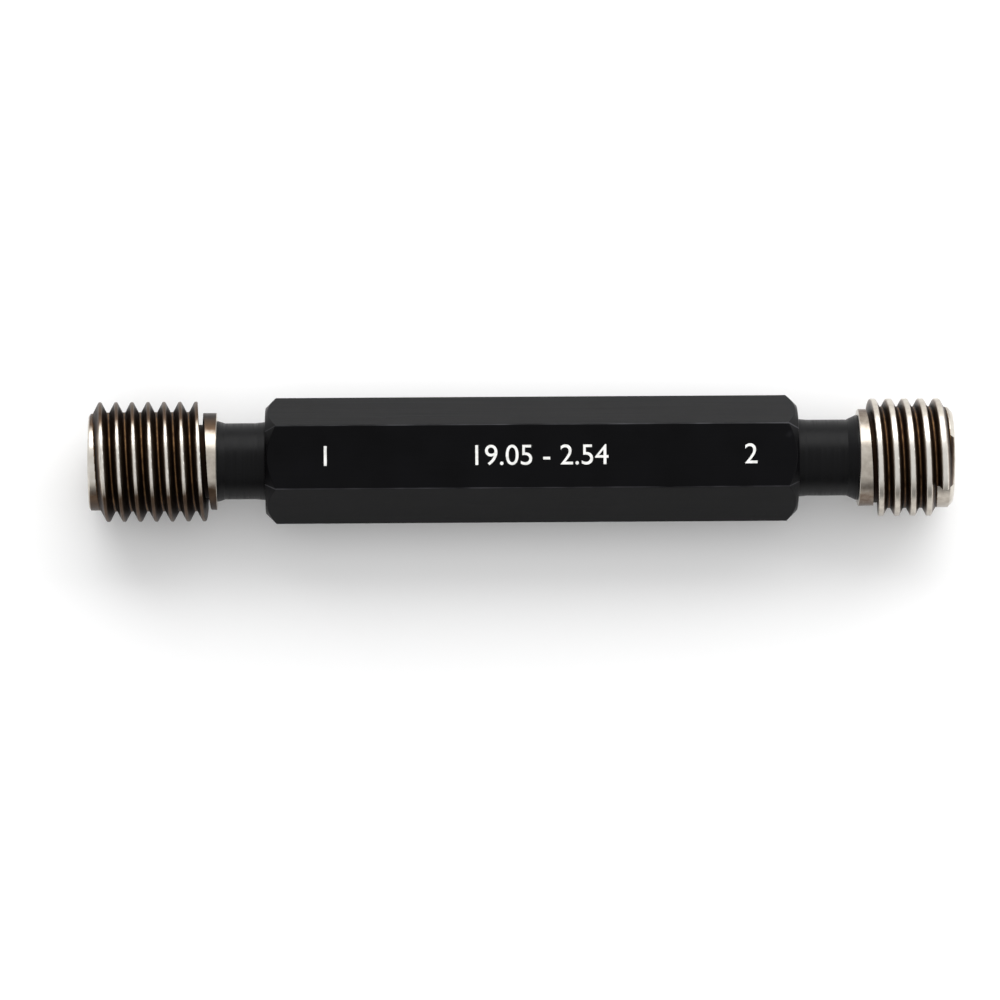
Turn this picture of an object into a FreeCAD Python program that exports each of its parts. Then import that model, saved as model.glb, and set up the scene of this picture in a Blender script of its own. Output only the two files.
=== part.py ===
import FreeCAD, Part
import Sketcher
import os

# Double-ended thread plug gauge, lying on its two threads: a hexagonal handle and, pushed into its two ends, a
# GO member with the full thread and a NO-GO member with the shallow, truncated one.  Each member is one turned
# and ground piece: shank, neck, collar, helical thread and pilot.
#
# Frame, in millimetres: +X along the gauge from the GO end to the NO-GO end, +Z up through the marked flat of the
# handle, origin on the resting plane under the middle of the overall length.
#
# A member is drawn in a frame of its own: X = 0 is the shoulder that seats on the end of the handle, the shank
# runs to -X and the head to +X.  Angles about that axis count from +Y towards +Z, so the right-hand thread moves
# along +X as its angle grows.

SIZES = {
    # both threads
    "thread_pitch": 2.54,
    "flank_angle": 27.5,
    "groove_overrun": 10.0,
    "run_out_share": 0.98,
    "blunt_share": 0.48,
    "crest_share": 0.45,
    "turning_step": 0.05,
    # handle
    "handle_length": 84.5,
    "handle_flats": 17.46,
    "handle_face_dia": 16.7,
    "handle_chamfer_angle": 45.0,
    "cut_margin": 1.0,
    # push fit of a shank in the handle
    "shank_dia": 9.5,
    "shank_length": 25.0,
    "shank_clearance": 0.01,
    "socket_relief": 1.5,
    # what the two members share
    "neck_dia": 12.1,
    "collar_dia": 15.4,
    "centre_hole_dia": 3.0,
    "centre_hole_angle": 30.0,
    # GO member
    "go_neck_length": 7.7,
    "go_flare_dia": 12.8,
    "go_flare_length": 1.3,
    "go_head_length": 20.3,
    "go_major_dia": 19.05,
    "go_crest_flat": 0.42,
    "go_root_flat": 0.42,
    "go_pilot_dia": 15.4,
    "go_end_chamfer": 0.3,
    "go_thread_place": 1.81,
    "go_thread_angle": 320.0,
    "go_thread_turns": 6.68,
    # NO-GO member
    "no_go_neck_length": 9.7,
    "no_go_flare_dia": 13.5,
    "no_go_flare_length": 1.8,
    "no_go_head_length": 15.0,
    "no_go_major_dia": 18.7,
    "no_go_crest_flat": 0.75,
    "no_go_root_flat": 0.49,
    "no_go_pilot_dia": 16.0,
    "no_go_end_chamfer": 0.7,
    "no_go_thread_place": 2.1,
    "no_go_thread_angle": 320.0,
    "no_go_thread_turns": 4.47,
}

doc = FreeCAD.newDocument("ThreadPlugGauge")
sheet = doc.addObject("Spreadsheet::Sheet", "Sizes")
for row, (alias, value) in enumerate(SIZES.items(), start=1):
    sheet.set(f"A{row}", alias)
    sheet.set(f"B{row}", str(value))
    sheet.setAlias(f"B{row}", alias)
doc.recompute()


# ---------------------------------------------------------------- shared steps
def new_body(name):
    """An empty body whose label names its file."""
    body = doc.addObject("PartDesign::Body", name)
    body.Label = name
    doc.recompute()
    return body


def outline(body, name, plane, corners, angle=None):
    """A closed sketch of straight lines through corners, each a pair of sheet expressions.

    angle, a sheet expression in degrees, turns the sketch plane about the body's X axis.
    """
    sketch = body.newObject("Sketcher::SketchObject", name)
    origin_plane = next(f for f in body.Origin.OriginFeatures if f.Role == plane)
    sketch.AttachmentSupport = [(origin_plane, "")]
    sketch.MapMode = "FlatFace"
    if angle is not None:
        quarter_turn = FreeCAD.Rotation(FreeCAD.Vector(1, 0, 0), 90)
        sketch.AttachmentOffset = FreeCAD.Placement(FreeCAD.Vector(), quarter_turn)
        sketch.setExpression("AttachmentOffset.Rotation.Angle", angle)
    places = [FreeCAD.Vector(body.evalExpression(x), body.evalExpression(y), 0) for x, y in corners]
    for start, end in zip(places, places[1:] + places[:1]):
        sketch.addGeometry(Part.LineSegment(start, end), False)
    for line, place in enumerate(places):
        before = (line - 1) % len(places)
        sketch.addConstraint(Sketcher.Constraint("Coincident", before, 2, line, 1))
        for kind, value, text in zip(("DistanceX", "DistanceY"), place, corners[line]):
            number = sketch.addConstraint(Sketcher.Constraint(kind, -1, 1, line, 1, value))
            sketch.setExpression(f"Constraints[{number}]", text)
    doc.recompute()
    return sketch


def revolve(body, kind, name, sketch):
    """Turn a sketch once about the X axis; kind is Revolution to add or Groove to cut."""
    feature = body.newObject(f"PartDesign::{kind}", name)
    feature.Profile = (sketch, [""])
    feature.ReferenceAxis = (sketch, ["H_Axis"])
    feature.Angle = 360
    doc.recompute()
    return feature


def cut_helix(body, name, sketch, turns):
    """Sweep a sketch along a right-hand helix about the X axis and take it away."""
    before = body.Shape.Volume
    feature = body.newObject("PartDesign::SubtractiveHelix", name)
    feature.Profile = (sketch, [""])
    feature.ReferenceAxis = (sketch, ["H_Axis"])
    feature.Mode = "pitch-turns-angle"
    feature.setExpression("Pitch", "Sizes.thread_pitch")
    feature.setExpression("Turns", turns)
    doc.recompute()
    if not body.Shape.Volume < before:
        raise RuntimeError(f"{name} cuts nothing")
    return feature


# ---------------------------------------------------------------- handle
def make_handle():
    """A hexagonal bar, flats up and down, with turned chamfers and a blind socket in each end."""
    body = new_body("handle")
    flats = "Sizes.handle_flats"
    corner = f"{flats} / 2 / cos(30)"
    hexagon = [
        (f"{corner}", "0"),
        (f"{corner} / 2", f"{flats} / 2"),
        (f"-{corner} / 2", f"{flats} / 2"),
        (f"-{corner}", "0"),
        (f"-{corner} / 2", f"-{flats} / 2"),
        (f"{corner} / 2", f"-{flats} / 2"),
    ]
    bar = body.newObject("PartDesign::Pad", "HexBar")
    bar.Profile = (outline(body, "HexSection", "YZ_Plane", hexagon), [""])
    bar.setExpression("Length", "Sizes.handle_length")
    bar.Midplane = True
    doc.recompute()

    end = "Sizes.handle_length / 2"
    face = "Sizes.handle_face_dia / 2"
    slope = "tan(Sizes.handle_chamfer_angle)"
    outside = f"({end} + Sizes.cut_margin)"
    beyond = f"({corner} + Sizes.cut_margin)"
    chamfer = [
        (outside, f"{face} - Sizes.cut_margin / {slope}"),
        (outside, beyond),
        (f"{end} - ({beyond} - {face}) * {slope}", beyond),
    ]
    chamfer_cut = revolve(body, "Groove", "EndChamfer", outline(body, "ChamferSection", "XZ_Plane", chamfer))

    mouth = "Sizes.shank_dia / 2 + Sizes.shank_clearance"
    bottom = f"{end} - Sizes.shank_length - Sizes.socket_relief"
    socket = [(outside, "0"), (outside, mouth), (bottom, mouth), (bottom, "0")]
    socket_cut = revolve(body, "Groove", "Socket", outline(body, "SocketSection", "XZ_Plane", socket))

    mirrored = body.newObject("PartDesign::Mirrored", "OtherEnd")
    mirrored.Originals = [chamfer_cut, socket_cut]
    mirrored.MirrorPlane = (next(f for f in body.Origin.OriginFeatures if f.Role == "YZ_Plane"), [""])
    body.Tip = mirrored
    doc.recompute()
    return body


# ---------------------------------------------------------------- gauging members
def make_member(name, end):
    """One gauging member; end is the prefix of its own sizes in the sheet."""
    body = new_body(name)
    size = f"Sizes.{end}_"
    pitch = "Sizes.thread_pitch"
    neck_end = f"{size}neck_length"
    tip = f"({neck_end} + {size}head_length)"
    major = f"{size}major_dia / 2"
    pilot = f"{size}pilot_dia / 2"
    collar = "Sizes.collar_dia / 2"
    # the ridge of the thread, at the middle of its crest where it starts and where it ends
    ridge_start = f"({neck_end} + {size}thread_place)"
    ridge_end = f"({ridge_start} + {pitch} * {size}thread_turns)"
    ridge_wall = f"({ridge_start} - {size}crest_flat / 2)"

    hole = "Sizes.centre_hole_dia / 2"
    shank = "Sizes.shank_dia / 2"
    blank = [
        ("-Sizes.shank_length", "0"),
        ("-Sizes.shank_length", shank),
        ("0", shank),
        ("0", "Sizes.neck_dia / 2"),
        (f"{neck_end} - {size}flare_length", "Sizes.neck_dia / 2"),
        (neck_end, f"{size}flare_dia / 2"),
        (neck_end, collar),
        (f"{ridge_wall} - Sizes.turning_step", collar),
        (f"{ridge_wall} - Sizes.turning_step", major),
        (f"{ridge_end} + {pitch} * Sizes.crest_share", major),
        (f"{ridge_end} + {pitch} * Sizes.crest_share", pilot),
        (f"{tip} - {size}end_chamfer", pilot),
        (tip, f"{pilot} - {size}end_chamfer"),
        (tip, hole),
        (f"{tip} - {hole} / tan(Sizes.centre_hole_angle)", "0"),
    ]
    revolve(body, "Revolution", "TurnedBlank", outline(body, "BlankSection", "XZ_Plane", blank))

    # the helical cuts are made on the plain blank, the thread groove last
    start_angle = f"{size}thread_angle"

    # run-out: the turn before the ridge starts is cut down to the collar
    clear = f"{major} + {pitch} / 4"
    run_out = [
        (f"{ridge_wall} - {pitch} * Sizes.run_out_share", f"{collar} + Sizes.turning_step"),
        (ridge_wall, f"{collar} + Sizes.turning_step"),
        (ridge_wall, clear),
        (f"{ridge_wall} - {pitch} * Sizes.run_out_share", clear),
    ]
    cut_helix(body, "RunOut", outline(body, "RunOutSection", "XY_Plane", run_out, start_angle), "1")

    # blunt end: the ridge stops square and the turn after it is cut down to the pilot
    blunt = [
        (f"{ridge_end} - {pitch} / 2", f"{pilot} + Sizes.turning_step"),
        (f"{ridge_end} + {pitch} * Sizes.blunt_share", f"{pilot} + Sizes.turning_step"),
        (f"{ridge_end} + {pitch} * Sizes.blunt_share", clear),
        (f"{ridge_end} - {pitch} / 2", clear),
    ]
    end_angle = f"mod({start_angle} + 360 * {size}thread_turns; 360)"
    cut_helix(body, "BluntEnd", outline(body, "BluntSection", "XY_Plane", blunt, end_angle), "1")

    # thread groove: flanks at the thread angle, a flat root, drawn a little past the crest so that it cuts clear
    slope = "tan(Sizes.flank_angle)"
    groove_depth = f"({pitch} - {size}crest_flat - {size}root_flat) / 2 / {slope}"
    past_crest = f"{size}crest_flat / 4 / {slope}"
    middle = f"({ridge_start} + {pitch} / 2 - {pitch} * Sizes.groove_overrun / 360)"
    root_half = f"{size}root_flat / 2"
    top_half = f"({pitch} / 2 - {size}crest_flat / 4)"
    groove = [
        (f"{middle} - {root_half}", f"{major} - {groove_depth}"),
        (f"{middle} + {root_half}", f"{major} - {groove_depth}"),
        (f"{middle} + {top_half}", f"{major} + {past_crest}"),
        (f"{middle} - {top_half}", f"{major} + {past_crest}"),
    ]
    sketch = outline(body, "GrooveSection", "XY_Plane", groove, f"{start_angle} - Sizes.groove_overrun")
    cut_helix(body, "ThreadGroove", sketch, f"{size}thread_turns + 2 * Sizes.groove_overrun / 360")
    return body


# ---------------------------------------------------------------- the gauge
handle = make_handle()
go_member = make_member("go_member", "go")
no_go_member = make_member("no_go_member", "no_go")

# the handle's middle lies off the middle of the overall length by half the difference of the two members
handle_place = "(Sizes.go_neck_length + Sizes.go_head_length - Sizes.no_go_neck_length - Sizes.no_go_head_length) / 2"
go_member.Placement.Rotation = FreeCAD.Rotation(FreeCAD.Vector(0, 0, 1), 180)
handle.setExpression("Placement.Base.x", handle_place)
go_member.setExpression("Placement.Base.x", f"{handle_place} - Sizes.handle_length / 2")
no_go_member.setExpression("Placement.Base.x", f"{handle_place} + Sizes.handle_length / 2")
pieces = [handle, go_member, no_go_member]
for piece in pieces:
    piece.setExpression("Placement.Base.z", "Sizes.go_major_dia / 2")
doc.recompute()

for item in doc.Objects:
    if "Invalid" in item.State or "Error" in item.State:
        raise RuntimeError(f"{item.Label} did not recompute")
for piece in pieces:
    if piece.Shape.isNull() or not piece.Shape.isValid() or len(piece.Shape.Solids) != 1:
        raise RuntimeError(f"{piece.Label} is not one sound solid")

os.makedirs("parts", exist_ok=True)
for piece in pieces:
    piece.Shape.exportStep(f"parts/{piece.Label}.step")
    print(f"{piece.Label}: {piece.Shape.Volume:.1f} mm3")
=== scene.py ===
"""Dressed model of a double-ended thread plug gauge, in metres, in the frame of its solids."""
import math

import bpy
import numpy as np
from bpy.props import FloatProperty, FloatVectorProperty, PointerProperty, StringProperty
from mathutils import Euler, Matrix, Vector


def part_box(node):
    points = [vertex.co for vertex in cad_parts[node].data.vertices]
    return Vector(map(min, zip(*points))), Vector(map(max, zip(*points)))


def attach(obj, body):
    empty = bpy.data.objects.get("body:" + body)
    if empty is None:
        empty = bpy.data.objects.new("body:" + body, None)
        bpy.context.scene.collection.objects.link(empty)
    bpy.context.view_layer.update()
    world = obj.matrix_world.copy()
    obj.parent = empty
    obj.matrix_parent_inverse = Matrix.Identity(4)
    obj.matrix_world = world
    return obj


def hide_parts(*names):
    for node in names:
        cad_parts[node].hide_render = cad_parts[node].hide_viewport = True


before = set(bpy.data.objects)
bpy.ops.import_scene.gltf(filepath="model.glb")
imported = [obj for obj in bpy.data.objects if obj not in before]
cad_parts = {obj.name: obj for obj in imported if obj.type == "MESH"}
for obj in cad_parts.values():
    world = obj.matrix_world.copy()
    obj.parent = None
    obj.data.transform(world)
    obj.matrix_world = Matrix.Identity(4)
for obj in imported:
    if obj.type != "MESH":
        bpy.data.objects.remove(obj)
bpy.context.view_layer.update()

bl_info = {
    "name": "Thread plug gauge",
    "version": (1, 0, 0),
    "blender": (4, 5, 0),
    "location": "View3D > Sidebar > Plug gauge",
    "description": "Builds the handle, the two threaded members, the marks and the studio of a plug gauge",
    "category": "Object",
}

MM = 0.001
HANDLE_LOW, HANDLE_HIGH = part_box("handle")
AXIS_HEIGHT = (HANDLE_LOW.z + HANDLE_HIGH.z) / 2
# a ring this share of the radius stays open round the axis, and a fan closes it
POLE_SHARE = 0.02


# ------------------------------------------------------------------ sizes
def colour(code):
    """An sRGB hex code as linear red, green, blue and 1."""
    srgb = np.array([int(code[i:i + 2], 16) / 255 for i in (1, 3, 5)])
    linear = np.where(srgb <= 0.04045, srgb / 12.92, ((srgb + 0.055) / 1.055) ** 2.4)
    return (*linear, 1.0)


def length(name, description, millimetres):
    """A size in metres, given in millimetres."""
    return FloatProperty(
        name=name, description=description, default=millimetres * MM, unit="LENGTH", subtype="DISTANCE", precision=5)


def turned(name, description, degrees):
    """An angle in radians, given in degrees."""
    return FloatProperty(
        name=name, description=description, default=math.radians(degrees), unit="ROTATION", subtype="ANGLE")


class ThreadSizes(bpy.types.PropertyGroup):
    pitch: length("Pitch", "Distance from one ridge to the next", 2.54)
    flank: turned("Flank", "Angle of a flank from square to the axis", 27.5)
    start: turned("Thread start", "Angle at which the ridge starts", 320)
    shank_dia: length("Shank", "Diameter of the part inside the handle", 9.5)
    shank_length: length("Shank length", "Length of the part inside the handle", 25.0)
    shank_chamfer: length("Shank chamfer", "Width of the chamfer on the shank's end", 0.4)
    neck_dia: length("Neck", "Diameter of the blackened neck", 12.1)
    foot_rise: length("Foot", "Height of the raised foot of the neck", 0.15)
    foot_length: length("Foot length", "Length of that foot, from the shoulder", 1.5)
    foot_slope: length("Foot slope", "Length over which that foot ends on the neck", 0.4)
    foot_break: length("Foot break", "Rounding of that foot", 0.05)
    collar_dia: length("Collar", "Diameter of the collar between neck and thread", 15.4)
    collar_break: length("Collar break", "Width of the broken edge of the collar", 0.1)
    edge_break: length("Edge break", "Width of the stoned edge along each crest", 0.12)
    wall: length("Wall", "How far a steep wall leans over its height", 0.07)
    end_break: length("End break", "Width of the broken edge of the end face", 0.03)
    centre_dia: length("Centre hole", "Mouth of the lathe centre in the end face", 3.0)
    centre_break: length("Centre break", "Width of the broken edge of that mouth", 0.05)
    # where the painted shade towards the sides sets in beside the axis, and over what distance it grows to the full
    side_shade_from: length("Side shade from", "Distance beside the axis at which the oil film sets in", 3.5)
    side_shade_growth: length("Side shade growth", "Distance over which it grows to the full", 3.5)


MEMBER_LENGTHS = {
    "neck": ("Neck length", "Shoulder to collar"),
    "flare_dia": ("Flare", "Diameter of the neck where it meets the collar"),
    "flare": ("Flare length", "Length of the flare at the collar"),
    "head": ("Head length", "Collar, thread and pilot together"),
    "major": ("Major", "Diameter over the crests"),
    "crest": ("Crest", "Width of the flat crest"),
    "root": ("Root", "Width of the flat root"),
    "place": ("Thread place", "Collar face to the first crest"),
    "pilot": ("Pilot", "Diameter of the plain end"),
    "chamfer": ("End chamfer", "Width of the chamfer round the end"),
    "slot": ("Slot", "Width of the clearance beside the first ridge"),
    "slot_dia": ("Slot floor", "Diameter at the bottom of that clearance"),
}


def member_sizes(turns, film, **millimetres):
    """The properties that each member has, with the defaults of one of them."""
    sizes = {key: length(*MEMBER_LENGTHS[key], size) for key, size in millimetres.items()}
    sizes["turns"] = FloatProperty(name="Turns", description="Turns of the ridge", default=turns)
    # painted shade: how far the flanks and crests darken and brown towards the sides as seen from above
    sizes["film"] = FloatProperty(
        name="Painted side shade", description="How far old oil browns the sides, which a wipe along the top misses",
        default=film, min=0, max=1, subtype="FACTOR")
    return sizes


class GoSizes(bpy.types.PropertyGroup):
    __annotations__ = member_sizes(
        neck=7.7, flare_dia=12.8, flare=1.3, head=20.3, major=19.05, crest=0.42, root=0.42, place=1.81,
        turns=6.68, pilot=15.4, chamfer=0.3, slot=0.85, slot_dia=11.7, film=0.42)


class NoGoSizes(bpy.types.PropertyGroup):
    __annotations__ = member_sizes(
        neck=9.7, flare_dia=13.5, flare=1.8, head=15.0, major=18.7, crest=0.75, root=0.49, place=2.1,
        turns=4.47, pilot=16.0, chamfer=0.7, slot=0.7, slot_dia=14.4, film=0.14)


class HandleSizes(bpy.types.PropertyGroup):
    face_dia: length("End face", "Diameter at which the turned chamfer meets the end face", 16.7)
    edge_radius: length("Edge radius", "Rounding of the long edges", 0.3)
    crease: length("Crease", "Rounding where the chamfer meets the flats", 0.1)
    socket_dia: length("Socket", "Diameter of the hole for a shank", 9.52)
    socket_depth: length("Socket depth", "Depth of the hole for a shank", 26.5)


class MarkSettings(bpy.types.PropertyGroup):
    go_mark: StringProperty(name="GO mark", description="Plain number at the GO end", default="1")
    size_mark: StringProperty(
        name="Size mark", description="Plain numbers for the thread, diameter and pitch", default="19.05 - 2.54")
    no_go_mark: StringProperty(name="NO-GO mark", description="Plain number at the NO-GO end", default="2")
    height: length("Height", "Height of the numbers", 3.3)
    proud: length("Proud", "Thickness of the filling above the flat", 0.01)
    filling: FloatVectorProperty(
        name="Filling", description="White lacquer in the numbers", subtype="COLOR", default=colour("#E7E7E4")[:3],
        min=0, max=1)


# ------------------------------------------------------------------ shared steps
def add(tree, kind, inputs=None, **settings):
    """Adds one node with its settings; inputs maps a socket's name or number to a value or another node's output."""
    node = tree.nodes.new(kind)
    for name, value in settings.items():
        setattr(node, name, value)
    for socket, value in (inputs or {}).items():
        if isinstance(value, bpy.types.NodeSocket):
            tree.links.new(value, node.inputs[socket])
        else:
            node.inputs[socket].default_value = value
    return node


def ramp(tree, factor, stops):
    """A colour ramp through (position, linear colour) stops."""
    node = add(tree, "ShaderNodeValToRGB", {"Fac": factor})
    elements = node.color_ramp.elements
    while len(elements) < len(stops):
        elements.new(1.0)
    for element, (position, tint) in zip(elements, stops):
        element.position, element.color = position, tint
    return node.outputs["Color"]


def new_material(name, **shader):
    """A material with one Principled shader and its Object coordinates; shader sets sockets."""
    material = bpy.data.materials.new(name)
    material.use_nodes = True
    tree = material.node_tree
    tree.nodes.clear()
    sockets = {key.replace("_", " "): value for key, value in shader.items()}
    principled = add(tree, "ShaderNodeBsdfPrincipled", sockets)
    add(tree, "ShaderNodeOutputMaterial", {"Surface": principled.outputs["BSDF"]})
    place = add(tree, "ShaderNodeTexCoord").outputs["Object"]
    return material, tree, principled, place


def put_mesh(name, points, quads, triangles, materials):
    """One mesh object at the origin from metres, quads and triangles, with its outside turned outwards.

    The signed volume is a sixth of the sum over faces of a . (b x c); where it is negative each face is reversed.
    """
    fans = np.vstack([quads[:, [0, 1, 2]], quads[:, [0, 2, 3]], triangles])
    a, b, c = (points[fans[:, k]] for k in range(3))
    if np.einsum("ij,ij->", a, np.cross(b, c)) < 0:
        quads, triangles = quads[:, ::-1], triangles[:, ::-1]
    mesh = bpy.data.meshes.new(name)
    mesh.vertices.add(len(points))
    mesh.vertices.foreach_set("co", points.astype(np.float32).ravel())
    corners = np.concatenate([quads.ravel(), triangles.ravel()]).astype(np.int32)
    starts = np.concatenate([np.arange(len(quads)) * 4, len(quads) * 4 + np.arange(len(triangles)) * 3])
    mesh.loops.add(len(corners))
    mesh.loops.foreach_set("vertex_index", corners)
    mesh.polygons.add(len(starts))
    mesh.polygons.foreach_set("loop_start", starts.astype(np.int32))
    mesh.update(calc_edges=True)
    mesh.polygons.foreach_set("use_smooth", np.ones(len(starts), dtype=bool))
    for material in materials:
        mesh.materials.append(material)
    piece = bpy.data.objects.new(name, mesh)
    bpy.context.scene.collection.objects.link(piece)
    return piece


def closed_rings(along, across, up):
    """Points, quads and triangles of a closed skin through rings, given as rows by columns.

    Quads join ring to ring and wrap round, and a fan to the middle of the first and of the last ring closes them.
    """
    rows, columns = along.shape
    grid = np.arange(rows * columns).reshape(rows, columns)
    beside = np.roll(grid, -1, axis=1)
    quads = np.stack([grid[:-1], beside[:-1], beside[1:], grid[1:]], axis=-1).reshape(-1, 4)
    points = np.stack([along, across, up], axis=-1).reshape(-1, 3)
    ends = np.stack([points.reshape(rows, columns, 3)[row].mean(0) for row in (0, -1)])
    first, last = len(points), len(points) + 1
    triangles = np.vstack([
        np.stack([beside[0], grid[0], np.full(columns, first)], axis=-1),
        np.stack([grid[-1], beside[-1], np.full(columns, last)], axis=-1)])
    return np.vstack([points, ends]), quads, triangles


def put_attribute(piece, name, values):
    """One number for each ring point of a closed skin; the middles of its two fans take the last one."""
    attribute = piece.data.attributes.new(name, "FLOAT", "POINT")
    attribute.data.foreach_set("value", np.append(values.ravel(), [values.flat[-1]] * 2).astype(np.float32))


def even_shading(piece, angle):
    """Marks edges over the angle as sharp and lets large faces lead the shading of their soft edges."""
    piece.data.set_sharp_from_angle(angle=angle)
    weighted = piece.modifiers.new("Even shading", "WEIGHTED_NORMAL")
    weighted.keep_sharp = True


def soft_corner(before, corner, after, reach, steps=3):
    """Rows that round a profile's corner.

    Each is a point (1-t)^2 A + 2t(1-t) C + t^2 B, where A and B lie on the two sides at reach from the corner C.
    Profiles are pairs (along, radius) of arrays over the columns.
    """
    def towards(point):
        step = np.stack(point) - np.stack(corner)
        return np.stack(corner) + step / np.linalg.norm(step, axis=0) * reach
    a, c, b = towards(before), np.stack(corner), towards(after)
    return [tuple((1 - t) ** 2 * a + 2 * t * (1 - t) * c + t * t * b) for t in np.linspace(0, 1, steps + 1)]


# ------------------------------------------------------------------ materials
def blackened_steel():
    """Drawn steel bar, black oxide finish, oiled: near-black with a soft sheen that follows the drawing lines, and a
    painted highlight of lighter grey along the long edges.
    """
    material, tree, shader, place = new_material(
        "black oxide on drawn steel bar", Metallic=0.0, Specular_IOR_Level=0.07)
    # drawing lines 0.25 mm apart run the length of the bar, long and faint
    lines = add(tree, "ShaderNodeMapping", {"Vector": place, "Scale": (0.04 / MM, 4 / MM, 4 / MM)}).outputs["Vector"]
    drawn = add(tree, "ShaderNodeTexNoise", {"Vector": lines, "Scale": 1.0, "Detail": 3.0, "Roughness": 0.6})
    drawn = drawn.outputs["Fac"]
    # the oxide is a little uneven over about 9 mm
    cloud = add(tree, "ShaderNodeTexNoise", {"Vector": place, "Scale": 1 / (9 * MM), "Detail": 3.0}).outputs["Fac"]
    # painted highlight: lighter grey along the middle of the long rounded edges, standing in for light caught there
    edge = add(tree, "ShaderNodeAttribute", attribute_name="edge").outputs["Fac"]
    thin = add(tree, "ShaderNodeMath", {0: edge, 1: 0.4, 2: cloud}, operation="MULTIPLY_ADD").outputs[0]
    # the uneven oxide spans the two dark stops; the light grey stop is reached mostly through the painted edge
    # highlight
    tint = ramp(tree, thin, [(0.3, colour("#020203")), (0.7, colour("#060608")), (1.0, colour("#3C3C3F"))])
    tree.links.new(tint, shader.inputs["Base Color"])
    rough = add(tree, "ShaderNodeMapRange", {
        "Value": drawn, "From Min": 0.25, "From Max": 0.75, "To Min": 0.26, "To Max": 0.40})
    tree.links.new(rough.outputs["Result"], shader.inputs["Roughness"])
    bump = add(tree, "ShaderNodeBump", {"Height": drawn, "Strength": 0.12, "Distance": 0.01 * MM})
    tree.links.new(bump.outputs["Normal"], shader.inputs["Normal"])
    return material


def ground_steel():
    """Hardened tool steel, thread ground: bright crests and flanks with fine rings, and painted shade in dark brown
    down the flanks into the grooves.
    """
    material, tree, shader, place = new_material("thread-ground tool steel", Metallic=1.0)
    groove = add(tree, "ShaderNodeAttribute", attribute_name="groove").outputs["Fac"]
    # the painted shade creeps up the flanks by a different amount every 1.5 mm or so
    patch = add(tree, "ShaderNodeTexNoise", {
        "Vector": place, "Scale": 1 / (1.5 * MM), "Detail": 4.0, "Roughness": 0.6})
    creep = add(tree, "ShaderNodeMath", {0: patch.outputs["Fac"], 1: 0.2, 2: -0.1}, operation="MULTIPLY_ADD")
    level = add(tree, "ShaderNodeMath", {0: groove, 1: creep.outputs[0]}, operation="ADD").outputs[0]
    # painted shade: pale on the crests, brown and then near black down the flanks into the root, with a lighter tan
    # line along the middle of the root
    tint = ramp(tree, level, [
        (0.0, colour("#DDD9D2")), (0.13, colour("#C4BDB2")), (0.32, colour("#5E4C3D")),
        (0.6, colour("#241912")), (0.9, colour("#21160F")), (1.0, colour("#7A5D3E"))])
    tree.links.new(tint, shader.inputs["Base Color"])
    # grinding rings, finer than can show on the real piece, drawn 0.12 mm apart round the axis so that they do
    rings = add(tree, "ShaderNodeMapping", {"Vector": place, "Scale": (8 / MM, 0.1 / MM, 0.1 / MM)}).outputs["Vector"]
    ground = add(tree, "ShaderNodeTexNoise", {"Vector": rings, "Scale": 1.0, "Detail": 2.0}).outputs["Fac"]
    wear = add(tree, "ShaderNodeMapRange", {
        "Value": level, "From Min": 0.2, "From Max": 0.9, "To Min": 0.24, "To Max": 0.5})
    rough = add(tree, "ShaderNodeMath", {0: ground, 1: 0.14, 2: wear.outputs["Result"]}, operation="MULTIPLY_ADD")
    tree.links.new(rough.outputs[0], shader.inputs["Roughness"])
    bump = add(tree, "ShaderNodeBump", {"Height": ground, "Strength": 0.25, "Distance": 0.01 * MM})
    tree.links.new(bump.outputs["Normal"], shader.inputs["Normal"])
    return material


def blackened_neck():
    """Turned steel, black oxide finish: duller than the bar, with the lathe's rings."""
    material, tree, shader, place = new_material(
        "black oxide on turned steel", Metallic=0.0, Specular_IOR_Level=0.12)
    # the lathe's rings lie 0.2 mm apart round the axis
    rings = add(tree, "ShaderNodeMapping", {"Vector": place, "Scale": (5 / MM, 0.1 / MM, 0.1 / MM)}).outputs["Vector"]
    lathed = add(tree, "ShaderNodeTexNoise", {"Vector": rings, "Scale": 1.0, "Detail": 2.0}).outputs["Fac"]
    tint = ramp(tree, lathed, [(0.3, colour("#040405")), (0.75, colour("#0A0A0C"))])
    tree.links.new(tint, shader.inputs["Base Color"])
    rough = add(tree, "ShaderNodeMapRange", {
        "Value": lathed, "From Min": 0.3, "From Max": 0.7, "To Min": 0.32, "To Max": 0.48})
    tree.links.new(rough.outputs["Result"], shader.inputs["Roughness"])
    bump = add(tree, "ShaderNodeBump", {"Height": lathed, "Strength": 0.3, "Distance": 0.02 * MM})
    tree.links.new(bump.outputs["Normal"], shader.inputs["Normal"])
    return material


def white_lacquer(tint):
    """Lacquer wiped into the numbers: flat white, a little grey where it is thin, in patches of 0.8 mm."""
    material, tree, shader, place = new_material("white lacquer filling", Roughness=0.6, Specular_IOR_Level=0.3)
    thin = add(tree, "ShaderNodeTexNoise", {"Vector": place, "Scale": 1 / (0.8 * MM), "Detail": 2.0}).outputs["Fac"]
    faded = [channel * 0.8 for channel in tint]
    tree.links.new(ramp(tree, thin, [(0.35, (*faded, 1.0)), (0.6, (*tint, 1.0))]), shader.inputs["Base Color"])
    return material


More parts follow.
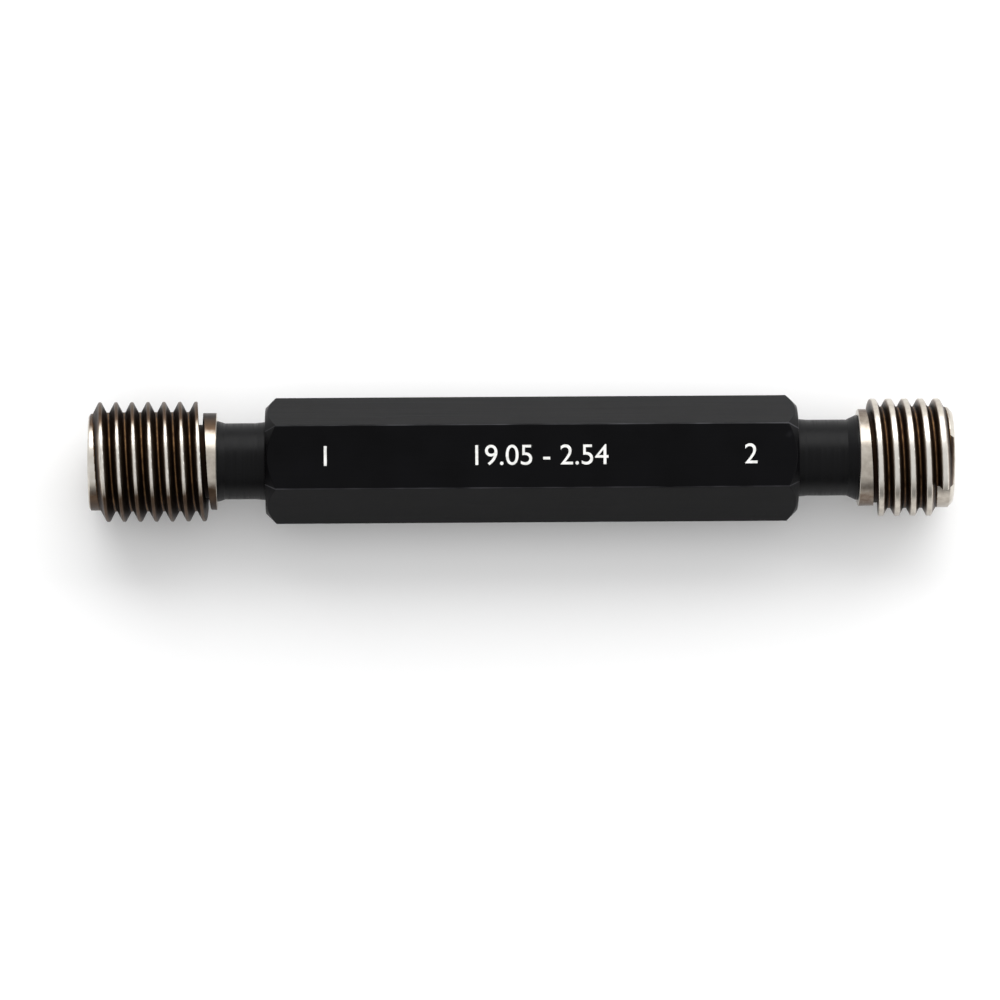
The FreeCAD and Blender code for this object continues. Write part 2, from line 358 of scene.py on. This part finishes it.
# ------------------------------------------------------------------ handle
class GAUGE_OT_handle(bpy.types.Operator):
    """Hexagonal bar with softened edges, turned chamfers and a socket in each end"""
    bl_idname = "gauge.handle"
    bl_label = "Handle"

    CORNER_COLUMNS = 7
    SIDE_COLUMNS = 16
    SHARP = math.radians(32)

    def execute(self, context):
        sizes = context.scene.gauge_handle
        angle, reach = self.hexagon((HANDLE_HIGH.z - HANDLE_LOW.z) / 2, sizes.edge_radius)
        flat = np.ones_like(reach)
        end, middle = (HANDLE_HIGH.x - HANDLE_LOW.x) / 2, (HANDLE_HIGH.x + HANDLE_LOW.x) / 2
        face, socket, bottom = sizes.face_dia / 2, sizes.socket_dia / 2, end - sizes.socket_depth
        # the profile of one end: socket bottom, socket mouth, end face, and the chamfer at 45 degrees onto the bar
        pole, corner = (bottom * flat, POLE_SHARE * socket * flat), (bottom * flat, socket * flat)
        mouth, on_face, on_bar = (end * flat, socket * flat), (end * flat, face * flat), (end - (reach - face), reach)
        half = [pole, corner]
        half += soft_corner(corner, mouth, on_face, sizes.crease)
        half += soft_corner(mouth, on_face, on_bar, sizes.crease)
        half += soft_corner(on_face, on_bar, (0 * flat, reach), sizes.crease)
        rows = half + [(-along, radius) for along, radius in reversed(half)]
        along, radius = (np.stack([row[k] for row in rows]) for k in (0, 1))
        points, quads, triangles = closed_rings(
            middle + along, radius * np.cos(angle), AXIS_HEIGHT + radius * np.sin(angle))
        piece = put_mesh("handle_bar", points, quads, triangles, [blackened_steel()])
        # strength of the painted edge highlight: 1 along the middle of each rounded edge, falling as a cosine to 0 on
        # the flats
        rounded = np.cos(np.linspace(-math.pi / 2, math.pi / 2, self.CORNER_COLUMNS))
        edge_highlight = np.tile(np.concatenate([rounded, np.zeros(self.SIDE_COLUMNS)]), 6)
        put_attribute(piece, "edge", np.tile(edge_highlight, len(rows)))
        even_shading(piece, self.SHARP)
        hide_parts("handle")
        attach(piece, "root")
        return {"FINISHED"}

    def hexagon(self, flat, rounding):
        """Angles and radii round a hexagon with rounded corners, its flats up and down.

        A corner is an arc of the rounding's radius about a point (flat - rounding) / cos 30 out from the axis; a
        flat between two corners has radius flat / cos(angle from its middle).
        """
        turn = np.radians(np.linspace(-30, 30, self.CORNER_COLUMNS))
        out = (flat - rounding) / math.cos(math.radians(30))
        corner_x, corner_y = out + rounding * np.cos(turn), rounding * np.sin(turn)
        corner = np.arctan2(corner_y, corner_x)
        side = np.linspace(corner[-1], math.radians(60) + corner[0], self.SIDE_COLUMNS + 2)[1:-1]
        sixth = np.concatenate([corner, side])
        radius = np.concatenate([np.hypot(corner_x, corner_y), flat / np.cos(side - math.radians(30))])
        angle = (sixth[None, :] + np.radians(np.arange(6) * 60)[:, None]).ravel()
        return angle, np.tile(radius, 6)


# ------------------------------------------------------------------ gauging members
class GAUGE_OT_members(bpy.types.Operator):
    """GO and NO-GO members: shank, neck, collar, ground helical thread, pilot and lathe centre"""
    bl_idname = "gauge.members"
    bl_label = "Gauging members"

    COLUMNS = 252
    STEP = 0.062 * MM
    FLARE_STEPS = 9
    SHARP = math.radians(24)
    # depth and radius of the lathe centre in radii of its mouth: foot of the cone, foot of the drilled hole, pole
    CENTRE_HOLE = ((1.3, 0.35), (2.4, 0.33), (2.5, POLE_SHARE))
    # values of the "groove" attribute, from which the material paints shade down the flanks: 0 on a crest, 1 in the
    # middle of a root
    # the slot's value paints shade into the slot beside the first ridge
    BARE, COLLAR_STAIN, SLOT_STAIN, FILM_LIMIT = 0.06, 0.16, 0.6, 0.88
    # shares of a turn: where the slot has faded out, over how much it fades, and over how much it sets in
    SLOT_END, SLOT_FADE, SLOT_ENTRY = 0.97, 0.2, 0.03

    def execute(self, context):
        scene = context.scene
        finishes = [ground_steel(), blackened_neck()]
        for own, name, node, shoulder, way in (
                (scene.gauge_go, "go_thread_member", "go_member", HANDLE_LOW.x, -1),
                (scene.gauge_no_go, "no_go_thread_member", "no_go_member", HANDLE_HIGH.x, 1)):
            self.member(scene.gauge_thread, own, name, node, shoulder, way, finishes)
        return {"FINISHED"}

    def member(self, shared, own, name, node, shoulder, way, finishes):
        """One member; way is the direction along X in which its head points.

        Its rings are the plain ones before the thread, the rows of the thread and the plain ones after it.
        """
        angle = (np.arange(self.COLUMNS) + 0.5) / self.COLUMNS * 2 * math.pi
        tip = own.neck + own.head
        before, first_black = self.neck_profile(shared, own)
        along = self.stations(shared, own, angle, own.neck + shared.collar_break, tip - own.chamfer)
        radius, groove = self.thread(shared, own, along, angle)
        # painted shade towards the sides as seen from above: it grows with the distance beside the axis, is capped
        # below the root's value and leaves the brown line in the root as it is
        aside = np.abs(radius * np.cos(angle))
        film = own.film * np.clip((aside - shared.side_shade_from) / shared.side_shade_growth, 0, 1)
        groove = np.where(groove < self.FILM_LIMIT, np.minimum(groove + film, self.FILM_LIMIT), groove)
        after = self.end_profile(shared, own, tip)
        places, radii = (np.vstack([
            np.repeat([[row[k]] for row in before], self.COLUMNS, axis=1), rows,
            np.repeat([[row[k]] for row in after], self.COLUMNS, axis=1)]) for k, rows in ((0, along), (1, radius)))
        points, quads, triangles = closed_rings(
            shoulder + way * places, way * radii * np.cos(angle), AXIS_HEIGHT + radii * np.sin(angle))
        piece = put_mesh(name, points, quads, triangles, finishes)
        # bare value on the plain rings; on the thread, the painted shade of flanks, slot and sides, and the collar's
        # tone
        stain_and_shade = np.full(places.shape, self.BARE)
        stain_and_shade[len(before):len(before) + len(along)] = groove
        put_attribute(piece, "groove", stain_and_shade)
        # the shoulder, the neck and its flare are blackened, the rest is bright
        band = np.arange(len(places) - 1)
        black = np.repeat((band >= first_black) & (band < len(before) - 2), self.COLUMNS)
        finish = np.concatenate([black, np.zeros(len(triangles), dtype=bool)]).astype(np.int32)
        piece.data.polygons.foreach_set("material_index", finish)
        even_shading(piece, self.SHARP)
        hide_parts(node)
        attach(piece, "root")

    def neck_profile(self, shared, own):
        """Pairs (along, radius) from the shank's end to the collar's face, and the number of the first neck row.

        At s from 0 to 80 degrees the flare lies flare cos(s) before the collar and has risen by its height times
        1 - cos(9/8 s).
        """
        shank, neck, collar = shared.shank_dia / 2, shared.neck_dia / 2, shared.collar_dia / 2
        shank_end = -shared.shank_length
        foot = neck + shared.foot_rise
        rows = [
            (shank_end, POLE_SHARE * shank), (shank_end, shank - shared.shank_chamfer),
            (shank_end + shared.shank_chamfer, shank), (0, shank),
            (0, foot - shared.foot_break), (2 * shared.foot_break, foot),
            (shared.foot_length - shared.foot_slope, neck + shared.foot_break), (shared.foot_length, neck)]
        sweep = np.radians(np.linspace(0, 80, self.FLARE_STEPS))
        rise = (own.flare_dia / 2 - neck) * (1 - np.cos(sweep * 9 / 8))
        rows += list(zip(own.neck - own.flare * np.cos(sweep), neck + rise))
        return rows + [(own.neck, own.flare_dia / 2), (own.neck, collar - shared.collar_break)], 4

    def end_profile(self, shared, own, tip):
        """Pairs (along, radius) from the end chamfer over the end face to the bottom of the lathe centre."""
        face, mouth = own.pilot / 2 - own.chamfer, shared.centre_dia / 2
        rows = [
            (tip - shared.end_break, face), (tip, face - shared.end_break),
            (tip, mouth + shared.centre_break), (tip - shared.centre_break, mouth)]
        return rows + [(tip - mouth * depth, mouth * share) for depth, share in self.CENTRE_HOLE]

    @staticmethod
    def turn_of(shared, angle):
        """Share of a turn past the start of the ridge."""
        return ((angle - shared.start) / (2 * math.pi)) % 1.0

    def stations(self, shared, own, angle, low, high):
        """Places along the axis, rows by columns: an even spacing in which the nearest row moves onto each edge.

        The edges of ridge k lie at thread place + pitch (k + turn) plus or minus half the crest, its break and its
        flank, so every edge of the thread is a line of the mesh.
        """
        count = int(round((high - low) / self.STEP)) + 1
        along = np.repeat(np.linspace(low, high, count)[:, None], self.COLUMNS, axis=1)
        spacing = (high - low) / (count - 1)
        half, side = own.crest / 2, (shared.pitch - own.crest - own.root) / 2
        rises = np.array([half - shared.edge_break / 2, half + shared.edge_break / 2, half + side])
        walls = -half - shared.edge_break / 2 - np.array([0, shared.wall, own.slot, own.slot + shared.wall])
        first = own.neck + own.place + shared.pitch * self.turn_of(shared, angle)
        offsets = [(0, rises), (0, walls), (0, -rises[:2])]
        offsets += [(ridge, np.concatenate([-rises, rises])) for ridge in range(1, int(own.turns) + 2)]
        edges = np.vstack([first + ridge * shared.pitch + shift[:, None] for ridge, shift in offsets])
        row = np.round((edges - low) / spacing).astype(int)
        inside = (row > 0) & (row < count - 1)
        column = np.broadcast_to(np.arange(self.COLUMNS), edges.shape)
        along[row[inside], column[inside]] = edges[inside]
        return along

    def thread(self, shared, own, along, angle):
        """Radius and groove depth at each place.

        With q the distance from the first crest in pitches less the turn, the nearest ridge is round(q) and the
        offset from its crest is pitch (q - round(q)). A crest is flat, its edges are broken, and its flanks fall by
        1 / tan(flank) to the root. Before the first ridge there is a slot beside it and then the collar; past the
        last turn there is the pilot.
        """
        turn = self.turn_of(shared, angle)
        q = (along - own.neck - own.place) / shared.pitch - turn
        ridge = np.round(q)
        offset = (q - ridge) * shared.pitch
        far = np.abs(offset)
        half, break_half, slope = own.crest / 2, shared.edge_break / 2, 1 / math.tan(shared.flank)
        major = own.major / 2
        root = major - (shared.pitch - own.crest - own.root) / 2 * slope
        flank = major - (far - half) * slope
        broken = major - (far - half + break_half) * slope / 2
        radius = np.where(far < half + break_half, broken, np.maximum(flank, root))
        radius = np.where(far < half - break_half, major, radius)
        groove = np.clip((far - half) / (shared.pitch / 2 - half), 0, 1)
        # to the left of the first ridge: its wall, the slot, the slot's other wall and the collar
        collar = shared.collar_dia / 2
        fade = np.clip((self.SLOT_END - turn) / self.SLOT_FADE, 0, 1) * np.clip(turn / self.SLOT_ENTRY, 0, 1)
        floor = collar - (collar - own.slot_dia / 2) * fade
        short = -(q * shared.pitch + half + break_half)
        wall = np.interp(short, [0, shared.wall], [0.0, 1.0])
        other = np.interp(short, [own.slot, own.slot + shared.wall], [0.0, 1.0])
        edge = major - break_half * slope
        left = short > 0
        radius = np.where(left, edge + (floor - edge) * wall + (collar - floor) * other, radius)
        # painted shade in the slot beside the first ridge, added to the collar's tone
        stain_and_shade = self.COLLAR_STAIN + self.SLOT_STAIN * wall * (1 - other) * fade
        groove = np.where(left, stain_and_shade, groove)
        # past the last turn: the right flank of the last ridge runs down to the pilot
        pilot = own.pilot / 2
        past = (ridge + turn > own.turns) & ~left
        ending = ~past & ~left & (ridge + 1 + turn > own.turns) & (offset > half + break_half)
        radius = np.where(ending, np.maximum(flank, pilot), radius)
        radius = np.where(past, pilot, radius)
        groove = np.where(past, self.BARE, groove)
        return radius, groove


# ------------------------------------------------------------------ marks
class GAUGE_OT_marks(bpy.types.Operator):
    """Plain numbers on the top flat, filled with white lacquer"""
    bl_idname = "gauge.marks"
    bl_label = "Marks"

    # height of a capital for a font size of 1
    CAPITAL = 0.72

    def execute(self, context):
        marks = context.scene.gauge_marks
        lacquer = white_lacquer(tuple(marks.filling))
        # each mark's middle as a share of the handle's length from the GO end
        for name, share in (("go_mark", 0.113), ("size_mark", 0.513), ("no_go_mark", 0.909)):
            place = HANDLE_LOW.x + share * (HANDLE_HIGH.x - HANDLE_LOW.x)
            self.mark(name, getattr(marks, name), place, marks, lacquer)
        return {"FINISHED"}

    def mark(self, name, words, place, marks, lacquer):
        """Flat text turned into a mesh that stands proud of the top flat, its middle at place."""
        text = bpy.data.curves.new(name, "FONT")
        text.body, text.align_x, text.align_y = words, "CENTER", "CENTER"
        text.size, text.extrude = marks.height / self.CAPITAL, marks.proud
        writer = bpy.data.objects.new(name, text)
        bpy.context.scene.collection.objects.link(writer)
        bpy.context.view_layer.update()
        mesh = bpy.data.meshes.new_from_object(writer.evaluated_get(bpy.context.evaluated_depsgraph_get()))
        bpy.data.objects.remove(writer)
        mesh.transform(Matrix.Translation((place, 0, HANDLE_HIGH.z)))
        mesh.materials.clear()
        mesh.materials.append(lacquer)
        piece = bpy.data.objects.new(name, mesh)
        bpy.context.scene.collection.objects.link(piece)
        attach(piece, "root")


# ------------------------------------------------------------------ studio
class GAUGE_OT_studio(bpy.types.Operator):
    """White floor, soft lamps and the camera"""
    bl_idname = "gauge.studio"
    bl_label = "Studio"

    def execute(self, context):
        self.floor()
        self.world(context.scene)
        self.lamp("window lamp", (0.1, 0.8, 0.5), (1.6, 0.8), 13.0)
        self.lamp("end lamp", (0.85, 0.05, 0.45), (0.9, 0.4), 2.5)
        self.camera(context.scene)
        return {"FINISHED"}

    @staticmethod
    def floor():
        """A wide floor under the gauge that keeps its shadow."""
        half = 3.0
        corners = [(-half, -half, 0), (half, -half, 0), (half, half, 0), (-half, half, 0)]
        mesh = bpy.data.meshes.new("studio_floor")
        mesh.from_pydata(corners, [], [(0, 1, 2, 3)])
        floor = bpy.data.objects.new("studio_floor", mesh)
        bpy.context.scene.collection.objects.link(floor)
        material = new_material(
            "white paper", Base_Color=colour("#F6F6F6"), Roughness=0.9, Specular_IOR_Level=0.1)[0]
        mesh.materials.append(material)

    @staticmethod
    def world(scene):
        """A room with dim walls and a pale ceiling: dark at the horizon, near white overhead."""
        world = bpy.data.worlds.new("studio")
        world.use_nodes = True
        tree = world.node_tree
        tree.nodes.clear()
        towards = add(tree, "ShaderNodeTexCoord").outputs["Generated"]
        height = add(tree, "ShaderNodeSeparateXYZ", {"Vector": towards}).outputs["Z"]
        # pairs of height, the sine of the elevation, and brightness
        walls = ((0.0, 0.12), (0.3, 0.2), (0.52, 0.8), (1.0, 0.86))
        room = ramp(tree, height, [(level, (light, light, light, 1)) for level, light in walls])
        back = add(tree, "ShaderNodeBackground", {"Color": room, "Strength": 1.0})
        add(tree, "ShaderNodeOutputWorld", {"Surface": back.outputs["Background"]})
        scene.world = world

    @staticmethod
    def lamp(name, place, size, power):
        """A soft rectangular lamp that faces the middle of the floor."""
        light = bpy.data.lights.new(name, "AREA")
        light.shape, light.size, light.size_y, light.energy = "RECTANGLE", *size, power
        lamp = bpy.data.objects.new(name, light)
        lamp.location = place
        lamp.rotation_euler = (-Vector(place)).to_track_quat("-Z", "Y").to_euler()
        bpy.context.scene.collection.objects.link(lamp)

    @staticmethod
    def camera(scene):
        """A long lens a metre above the gauge, a little to the GO end and to the front."""
        lens = bpy.data.cameras.new("camera")
        lens.lens, lens.sensor_width, lens.clip_end = 233.7, 36.0, 20.0
        camera = bpy.data.objects.new("camera", lens)
        camera.location = (-0.02163, -0.06615, 1.04048)
        camera.rotation_euler = Euler([math.radians(t) for t in (3.322, -0.990, -0.424)])
        scene.collection.objects.link(camera)
        scene.camera = camera
        scene.view_settings.view_transform = "Standard"


class GAUGE_PT_panel(bpy.types.Panel):
    """Sizes and steps of the thread plug gauge"""
    bl_label = "Thread plug gauge"
    bl_space_type = "VIEW_3D"
    bl_region_type = "UI"
    bl_category = "Plug gauge"

    def draw(self, context):
        for attribute, sizes in GROUPS.items():
            box = self.layout.box()
            for name in sizes.__annotations__:
                box.prop(getattr(context.scene, attribute), name)
        for step in STEPS:
            self.layout.operator(step.bl_idname)


GROUPS = {
    "gauge_handle": HandleSizes,
    "gauge_thread": ThreadSizes,
    "gauge_go": GoSizes,
    "gauge_no_go": NoGoSizes,
    "gauge_marks": MarkSettings,
}
STEPS = (GAUGE_OT_handle, GAUGE_OT_members, GAUGE_OT_marks, GAUGE_OT_studio)


def register():
    for cls in (*GROUPS.values(), *STEPS, GAUGE_PT_panel):
        bpy.utils.register_class(cls)
    for name, group in GROUPS.items():
        setattr(bpy.types.Scene, name, PointerProperty(type=group))


def unregister():
    for name in GROUPS:
        delattr(bpy.types.Scene, name)
    for cls in reversed((*GROUPS.values(), *STEPS, GAUGE_PT_panel)):
        bpy.utils.unregister_class(cls)


def main():
    register()
    bpy.ops.gauge.handle()
    bpy.ops.gauge.members()
    bpy.ops.gauge.marks()
    bpy.ops.gauge.studio()


if __name__ == "__main__":
    main()
